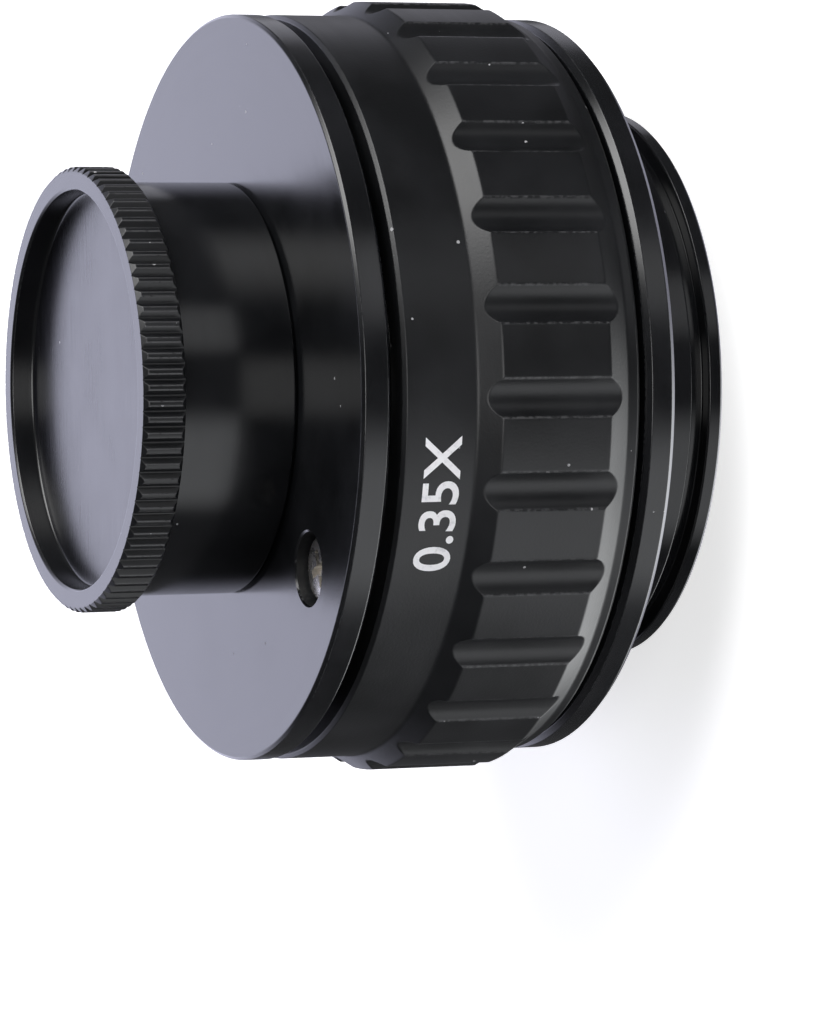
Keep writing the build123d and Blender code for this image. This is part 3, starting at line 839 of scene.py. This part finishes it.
tail = {
    "radius": 19.0, "length": 6.35, "bore": 16.5, "grooveLow": 1.05, "grooveHigh": 2.25, "grooveDepth": 1.1,
    "edgeChamfer": 0.2, "grooveChamfer": 0.1, "collarThickness": 2.15, "collarChamfer": 0.38,
    "bearing": 22.6, "bearingLength": 3.5, "tube": 21.0, "counterbore": 17.2, "counterboreDepth": 3.2,
    "soft": 0.05, "softGroove": 0.04, "softGrooveFloor": 0.08, "softShoulder": 0.1, "columns": 300,
    "insideMargin": 0.1, "shoulderMargin": 0.02, "boreMargin": 0.15,
}


def buildRearBody():
    d, soft = tail, tail["soft"]
    collarTop = d["length"] + d["collarThickness"]
    floor = d["radius"] - d["grooveDepth"]
    piece = turned("bodyWithTail", [
        (d["bore"] + d["edgeChamfer"], tailEnd, soft),
        (d["radius"] - d["edgeChamfer"], tailEnd, soft),
        (d["radius"], tailEnd + d["edgeChamfer"], soft),
        (d["radius"], d["grooveLow"] - d["grooveChamfer"], d["softGroove"]),
        (d["radius"] - d["grooveChamfer"], d["grooveLow"], d["softGroove"]),
        (floor, d["grooveLow"], d["softGrooveFloor"]),
        (floor, d["grooveHigh"], d["softGrooveFloor"]),
        (d["radius"] - d["grooveChamfer"], d["grooveHigh"], d["softGroove"]),
        (d["radius"], d["grooveHigh"] + d["grooveChamfer"], d["softGroove"]),
        (d["radius"], d["length"], d["softShoulder"]),
        (collarReach - d["collarChamfer"], d["length"], soft),
        (collarReach, d["length"] + d["collarChamfer"], soft),
        (collarReach, collarTop - d["collarChamfer"], soft),
        (collarReach - d["collarChamfer"], collarTop, soft),
        (d["bearing"], collarTop, 0),
        (d["bearing"], collarTop + d["bearingLength"], soft),
        (d["tube"], collarTop + d["bearingLength"], 0),
        (d["tube"], tubeTop, soft),
        (d["counterbore"], tubeTop, soft),
        (d["counterbore"], tubeTop - d["counterboreDepth"], 0),
        (d["bore"], tubeTop - d["counterboreDepth"], soft),
        (d["bore"], tailEnd + d["edgeChamfer"], soft),
    ], d["columns"])
    holeEnd = tubeTop - guide["threadLength"] - guide["tapDeeper"]
    screwHole = turned("screwHoleCutter", [
        (0, holeEnd, 0),
        (guide["tapHole"], holeEnd, 0),
        (guide["tapHole"], tubeTop + guide["cutPast"], 0),
        (0, tubeTop + guide["cutPast"], 0),
    ], holeColumns["tap"])
    cutWith(piece, moved(screwHole, *guidePlace))
    markSharp(piece, sharpFrom)
    evenShading(piece)
    finished(piece, blacks["blackTurned"], "rear", "rear_body")
    margin = d["insideMargin"]
    shoulder, outside = d["length"] - d["shoulderMargin"], d["bore"] + d["boreMargin"]
    paintFaces(piece, blacks["insideBlack"], lambda r, z: r < d["bore"] + margin or z > collarTop + margin)
    paintFaces(piece, blacks["tailBlack"], lambda r, z: z < shoulder and r > outside)


buildRearBody()
print("rear body built")


# Dust cap

cap = {
    "bore": 12.75, "threadRoot": 13.05, "skirt": 14.05, "rim": 15.1, "rimWidth": 2.95, "rimChamfer": 0.3,
    "mouthChamfer": 0.25, "faceRing": 1.6, "recessDepth": 1.7, "web": 1.2, "recessChamfer": 0.15,
    "grooves": 90, "grooveDepth": 0.38, "grooveBlend": 0.03, "soft": 0.045, "columnsPerGroove": 14,
    "softUnderRim": 0.06, "softGrooveEnd": 0.02, "softGroove": 0.05, "softRecess": 0.25, "softWeb": 0.2,
    "apartOut": 1e-4, "apartUp": 1e-3,  # keep the ends of a full groove's outline from meeting
    "skirtMargin": 0.05, "skirtWall": 0.35, "threadMargin": 0.08, "threadWall": 0.1,
    "knurlMargin": 0.02, "knurlWall": 0.75, "faceMargin": 0.05, "faceInset": 0.1,
}


def capColumn(groove):
    d, soft = cap, cap["soft"]
    rimLow = capTop - d["rimWidth"]
    floor = capTop - d["recessDepth"]
    inner = d["rim"] - d["rimChamfer"]
    reach = max(groove - inner, 0.0)
    edge = min(inner, groove)
    return softOutline([
        (d["threadRoot"], capFoot, soft),
        (d["skirt"] - d["mouthChamfer"], capFoot, soft),
        (d["skirt"], capFoot + d["mouthChamfer"], soft),
        (d["skirt"], rimLow, d["softUnderRim"]),
        (edge, rimLow, d["softGrooveEnd"]),
        (groove + d["apartOut"], rimLow + reach + d["apartUp"], d["softGroove"]),
        (groove + d["apartOut"], capTop - reach - d["apartUp"], d["softGroove"]),
        (edge, capTop, d["softGrooveEnd"]),
        (d["rim"] - d["faceRing"] + d["recessChamfer"], capTop, soft),
        (d["rim"] - d["faceRing"], capTop - d["recessChamfer"], soft),
        (d["rim"] - d["faceRing"], floor, d["softRecess"]),
        (0, floor, 0),
        (0, floor - d["web"], 0),
        (d["threadRoot"], floor - d["web"], d["softWeb"]),
    ])


def buildCap():
    d = cap
    perGroove = d["columnsPerGroove"]
    pitch = 2 * math.pi / d["grooves"]
    columns, angles = [], []
    for i in range(d["grooves"] * perGroove):
        offset = ((i % perGroove) / perGroove - 0.5) * pitch * d["rim"]
        depth = d["grooveDepth"] - abs(offset)
        columns.append(capColumn(softMin(d["rim"], d["rim"] - depth, d["grooveBlend"])))
        angles.append((i / perGroove - 0.5) * pitch)
    piece = meshFromColumns("capWithRim", columns, angles)
    finished(piece, blacks["blackTurned"], "cap", "dust_cap")
    rimLow = capTop - d["rimWidth"]
    skirtHigh, skirtIn = rimLow - d["skirtMargin"], d["skirt"] - d["skirtWall"]
    threadHigh, threadOut = rimLow + d["threadMargin"], d["threadRoot"] + d["threadWall"]
    knurlLow, knurlIn = rimLow - d["knurlMargin"], d["rim"] - d["knurlWall"]
    faceLow = capTop - d["recessDepth"] - d["faceMargin"]
    faceOut = d["rim"] - d["faceRing"] - d["faceInset"]
    paintFaces(piece, blacks["capGloss"], lambda r, z: z < skirtHigh and r > skirtIn)
    paintFaces(piece, blacks["insideBlack"], lambda r, z: z < threadHigh and r < threadOut)
    paintFaces(piece, blacks["knurlBlack"], lambda r, z: z > knurlLow and r > knurlIn)
    paintFaces(piece, capFace, lambda r, z: z > faceLow and r < faceOut)


# this thread points inwards, so its root is outside its crest
capThread = {
    "low": capFoot + 0.3, "high": capFoot + 5.2, "pitch": 0.794, "starts": 1, "rowStep": 0.06,
    "columns": 240, "inside": 13.2, "root": cap["threadRoot"] + rootUnder, "crest": cap["bore"],
    "fade": 0.35,
}
buildCap()
buildThread("capInnerThread", capThread, "cap", blacks["insideBlack"])
print("cap built")


# Optics and the pieces inside

def sagAt(depth, lensRadius, radius):
    # how far a lens's face has come from its middle's height, at a distance from the axis
    curve = (lensRadius ** 2 + depth ** 2) / (2 * depth)
    return curve - math.copysign(math.sqrt(curve * curve - radius * radius), curve)


lensMesh = {"steps": 14, "columns": 120, "sharpFrom": 30}
lenses = {
    "rearCrownGlass": {"node": "rear_crown_lens", "bottom": 2.2, "top": 2.9, "glass": violetGlass},
    "rearFlintGlass": {"node": "rear_flint_lens", "bottom": -2.9, "top": 0.8, "glass": greenGlass},
    "frontCrownGlass": {"node": "front_crown_lens", "bottom": 1.7, "top": 2.7, "glass": greenGlass},
    "frontFlintGlass": {"node": "front_flint_lens", "bottom": -2.7, "top": 0.74, "glass": violetGlass},
}


def buildLens(name, lens):
    # a face's depth counts as positive where the face bulges outwards
    low, high, radius = nodeSpan(lens["node"])
    bottom = low if lens["bottom"] > 0 else low - lens["bottom"]
    top = high if lens["top"] > 0 else high + lens["top"]
    distances = [radius * k / lensMesh["steps"] for k in range(lensMesh["steps"] + 1)]
    line = [(r, bottom + sagAt(lens["bottom"], radius, r)) for r in distances]
    line += [(r, top - sagAt(lens["top"], radius, r)) for r in reversed(distances)]
    piece = meshFromColumns(name, [line] * lensMesh["columns"], evenAngles(lensMesh["columns"]))
    markSharp(piece, lensMesh["sharpFrom"])
    finished(piece, lens["glass"], "front", lens["node"])


for name, lens in lenses.items():
    buildLens(name, lens)


def dressNode(node, material):
    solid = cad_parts[node]
    solid.data.materials.clear()
    solid.data.materials.append(material)


for node in ("lens_cell", "cell_lock_ring", "ring_retainer", "lens_spacer", "rear_retaining_ring",
             "front_retaining_ring"):
    dressNode(node, blacks["insideBlack"])
dressNode("retainer_set_screw", darkSteel)
dressNode("friction_washer", washerWhite)
print("inside dressed")


# Stage: pale floor, soft surroundings, camera

# the floor's glow is what it adds to its own shade: a little for the part, more for the camera
stage = {
    "floorReach": 6.0, "floorColour": (0.86, 0.86, 0.865), "palerBy": 1.01, "roughness": 0.9,
    "grain": 90.0, "cloud": 4.0, "floorGlow": 0.05, "floorWhite": 0.62,
}


def buildFloor():
    mesh = bpy.data.meshes.new("paleFloor")
    reach = stage["floorReach"]
    corners = [(-reach, -reach, 0), (reach, -reach, 0), (reach, reach, 0), (-reach, reach, 0)]
    mesh.from_pydata(corners, [], [(0, 1, 2, 3)])
    floor = placed("paleFloor", mesh)
    material, tree, shader = newMaterial("floorPaper", Roughness=stage["roughness"], Specular_IOR_Level=0.0)
    grain = useGroup(tree, grainGroup, Grain=stage["grain"], Cloud=stage["cloud"])
    paler = tuple(min(1.0, c * stage["palerBy"]) for c in stage["floorColour"])
    colour = mixColours(tree, grain["Cloudiness"], stage["floorColour"], paler)
    tree.links.new(colour, shader.inputs["Base Color"])
    shader.inputs["Emission Strength"].default_value = 1.0
    rays = addNode(tree, "ShaderNodeLightPath")
    seen = mathNode(tree, "MAXIMUM", rays.outputs["Is Camera Ray"], rays.outputs["Is Transmission Ray"])
    dim, bright = stage["floorGlow"], stage["floorWhite"]
    glow = mixColours(tree, seen, (dim, dim, dim), (bright, bright, bright))
    tree.links.new(glow, shader.inputs["Emission Color"])
    mesh.materials.append(material)
    floor.visible_glossy = False
    floor.visible_shadow = False


# each glow is a soft patch of the surroundings: where it is, how wide in degrees, how strong, its colour
glows = {
    "behind": {"towards": (0.0, 0.93, 0.37), "core": 22, "edge": 48, "strength": 2.1,
               "colour": (0.79, 0.80, 1.0)},
    "capSide": {"towards": (0.74, -0.22, 0.63), "core": 8, "edge": 30, "strength": 7.0,
                "colour": (1.0, 1.0, 1.0)},
    "tailSide": {"towards": (-0.42, 0.08, -0.90), "core": 14, "edge": 38, "strength": 4.2,
                 "colour": (0.97, 0.99, 1.0)},
    "tailBack": {"towards": (0.03, 0.60, -0.80), "core": 6, "edge": 24, "strength": 1.0,
                 "colour": (0.80, 0.80, 1.0)},
    "frontBelow": {"towards": (-0.62, -0.68, -0.37), "core": 12, "edge": 32, "strength": 1.5,
                   "colour": (0.95, 0.97, 1.0)},
    "frontAbove": {"towards": (0.50, -0.78, -0.37), "core": 5, "edge": 16, "strength": 0.9,
                   "colour": (0.97, 0.98, 1.0)},
    "backAbove": {"towards": (0.53, 0.76, -0.37), "core": 5, "edge": 16, "strength": 0.6,
                  "colour": (0.88, 0.88, 1.0)},
    "fromCamera": {"towards": (0.0, -0.92, 0.39), "core": 8, "edge": 20, "strength": 4.0,
                   "colour": (1.0, 1.0, 1.0)},
}
surround = (0.07, 0.07, 0.073)


def buildWorld():
    world = bpy.data.worlds.new("softRoom")
    bpy.context.scene.world = world
    world.use_nodes = True
    tree = world.node_tree
    background = tree.nodes["Background"]
    direction = addNode(tree, "ShaderNodeTexCoord").outputs["Generated"]
    colour = None
    for name, glow in glows.items():
        aim = Vector(glow["towards"]).normalized()
        dot = addNode(tree, "ShaderNodeVectorMath", operation="DOT_PRODUCT", label=name)
        tree.links.new(direction, dot.inputs[0])
        dot.inputs[1].default_value = aim
        atEdge, atCore = math.cos(math.radians(glow["edge"])), math.cos(math.radians(glow["core"]))
        patch = mapRange(tree, dot.outputs["Value"], atEdge, atCore, smooth=True)
        scaled = addNode(tree, "ShaderNodeVectorMath", operation="SCALE")
        scaled.inputs[0].default_value = [c * glow["strength"] for c in glow["colour"]]
        tree.links.new(patch, scaled.inputs["Scale"])
        add = addNode(tree, "ShaderNodeVectorMath", operation="ADD")
        tree.links.new(scaled.outputs[0], add.inputs[0])
        if colour is None:
            add.inputs[1].default_value = surround
        else:
            tree.links.new(colour, add.inputs[1])
        colour = add.outputs[0]
    tree.links.new(colour, background.inputs["Color"])
    background.inputs["Strength"].default_value = 1.0


# the camera is turned on its side, because the photograph shows the part lying down; its place is in
# millimetres, and its focal length is in pixels of a picture that is as high as the photograph
photoCamera = {
    "place": (-1.69, -347.13, 154.79),
    "right": (-0.01454, -0.37454, -0.92710),
    "up": (0.99971, 0.01212, -0.02057),
    "focalPixels": 5387.0, "pixelsHigh": 1024.0, "sensor": 36.0, "nearest": 0.01, "farthest": 50.0,
}


def buildCamera():
    data = bpy.data.cameras.new("photoCamera")
    data.sensor_width = photoCamera["sensor"]
    data.lens = photoCamera["focalPixels"] / photoCamera["pixelsHigh"] * photoCamera["sensor"]
    data.clip_start = photoCamera["nearest"]
    data.clip_end = photoCamera["farthest"]
    camera = placed("photoCamera", data)
    right = Vector(photoCamera["right"]).normalized()
    up = Vector(photoCamera["up"]).normalized()
    back = right.cross(up).normalized()
    up = back.cross(right)
    turn = Matrix((right, up, back)).transposed().to_4x4()
    camera.matrix_world = Matrix.Translation(Vector(photoCamera["place"]) * mm) @ turn
    bpy.context.scene.camera = camera


buildFloor()
buildWorld()
buildCamera()
bpy.context.scene.view_settings.view_transform = "Standard"
print("stage ready")
